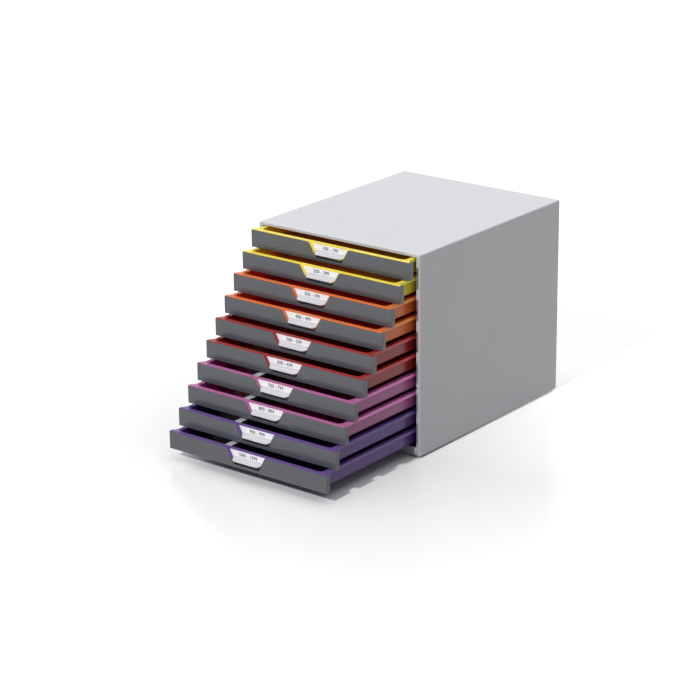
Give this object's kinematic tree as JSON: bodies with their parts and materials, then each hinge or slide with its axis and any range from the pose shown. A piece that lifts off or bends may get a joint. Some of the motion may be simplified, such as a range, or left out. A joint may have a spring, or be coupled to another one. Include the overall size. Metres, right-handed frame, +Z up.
{
  "type": "desktop drawer box",
  "caption": "Desktop drawer box: a light grey moulded casing with shallow sliding trays, dark fronts, coloured trays and clear label windows that serve as finger grips, opened in steps.",
  "frame": {"origin": "centre of the base of the part's bounding box, on the surface it stands on, with the drawers open in their steps", "axes": "+X to the right across the front, +Y from the drawer fronts to the casing's back, +Z up"},
  "size_m": [0.28, 0.5502, 0.292],
  "materials": {
    "casing_plastic": "fine matt moulded light grey",
    "rack_plastic": "smooth moulded grey",
    "foot_rubber": "soft matt black",
    "front_plastic": "satin anthracite",
    "tray_yellow": "smooth gloss",
    "tray_orange": "smooth gloss",
    "tray_red": "smooth gloss",
    "tray_magenta": "smooth gloss",
    "tray_violet": "smooth gloss",
    "window_clear": "clear polished",
    "card_paper": "uncoated white card",
    "divider_plastic": "frosted translucent grey"
  },
  "bodies": {
    "casing": {"casing_hood": "casing_plastic", "base_plate": "casing_plastic", "back_panel": "casing_plastic", "feet": "foot_rubber", "rack_left_01": "rack_plastic", "rack_left_02": "rack_plastic", "rack_left_03": "rack_plastic", "rack_left_04": "rack_plastic", "rack_left_05": "rack_plastic", "rack_right_01": "rack_plastic", "rack_right_02": "rack_plastic", "rack_right_03": "rack_plastic", "rack_right_04": "rack_plastic", "rack_right_05": "rack_plastic"},
    "drawer_01": {"drawer_tray_01": "tray_yellow", "drawer_front_01": "front_plastic", "label_window_01": "window_clear", "label_card_01": "card_paper"},
    "drawer_02": {"drawer_tray_02": "tray_yellow", "drawer_front_02": "front_plastic", "label_window_02": "window_clear", "label_card_02": "card_paper"},
    "drawer_03": {"drawer_tray_03": "tray_orange", "drawer_front_03": "front_plastic", "label_window_03": "window_clear", "label_card_03": "card_paper"},
    "drawer_04": {"drawer_tray_04": "tray_orange", "drawer_front_04": "front_plastic", "label_window_04": "window_clear", "label_card_04": "card_paper"},
    "drawer_05": {"drawer_tray_05": "tray_red", "drawer_front_05": "front_plastic", "label_window_05": "window_clear", "label_card_05": "card_paper"},
    "drawer_06": {"drawer_tray_06": "tray_red", "drawer_front_06": "front_plastic", "label_window_06": "window_clear", "label_card_06": "card_paper"},
    "drawer_07": {"drawer_tray_07": "tray_magenta", "drawer_front_07": "front_plastic", "label_window_07": "window_clear", "label_card_07": "card_paper", "tray_divider_07": "divider_plastic"},
    "drawer_08": {"drawer_tray_08": "tray_magenta", "drawer_front_08": "front_plastic", "label_window_08": "window_clear", "label_card_08": "card_paper", "tray_divider_08": "divider_plastic"},
    "drawer_09": {"drawer_tray_09": "tray_violet", "drawer_front_09": "front_plastic", "label_window_09": "window_clear", "label_card_09": "card_paper", "tray_divider_09": "divider_plastic"},
    "drawer_10": {"drawer_tray_10": "tray_violet", "drawer_front_10": "front_plastic", "label_window_10": "window_clear", "label_card_10": "card_paper", "tray_divider_10": "divider_plastic"}
  },
  "joints": [
    {"name": "slide_01", "type": "slide", "parent": "casing", "child": "drawer_01", "axis": [0, -1, 0], "range_m": [-0.0115, 0.2285]},
    {"name": "slide_02", "type": "slide", "parent": "casing", "child": "drawer_02", "axis": [0, -1, 0], "range_m": [-0.0318, 0.2082]},
    {"name": "slide_03", "type": "slide", "parent": "casing", "child": "drawer_03", "axis": [0, -1, 0], "range_m": [-0.0521, 0.1879]},
    {"name": "slide_04", "type": "slide", "parent": "casing", "child": "drawer_04", "axis": [0, -1, 0], "range_m": [-0.0724, 0.1676]},
    {"name": "slide_05", "type": "slide", "parent": "casing", "child": "drawer_05", "axis": [0, -1, 0], "range_m": [-0.0927, 0.1473]},
    {"name": "slide_06", "type": "slide", "parent": "casing", "child": "drawer_06", "axis": [0, -1, 0], "range_m": [-0.113, 0.127]},
    {"name": "slide_07", "type": "slide", "parent": "casing", "child": "drawer_07", "axis": [0, -1, 0], "range_m": [-0.1333, 0.1067]},
    {"name": "slide_08", "type": "slide", "parent": "casing", "child": "drawer_08", "axis": [0, -1, 0], "range_m": [-0.1536, 0.0864]},
    {"name": "slide_09", "type": "slide", "parent": "casing", "child": "drawer_09", "axis": [0, -1, 0], "range_m": [-0.1739, 0.0661]},
    {"name": "slide_10", "type": "slide", "parent": "casing", "child": "drawer_10", "axis": [0, -1, 0], "range_m": [-0.1942, 0.0458]}
  ]
}
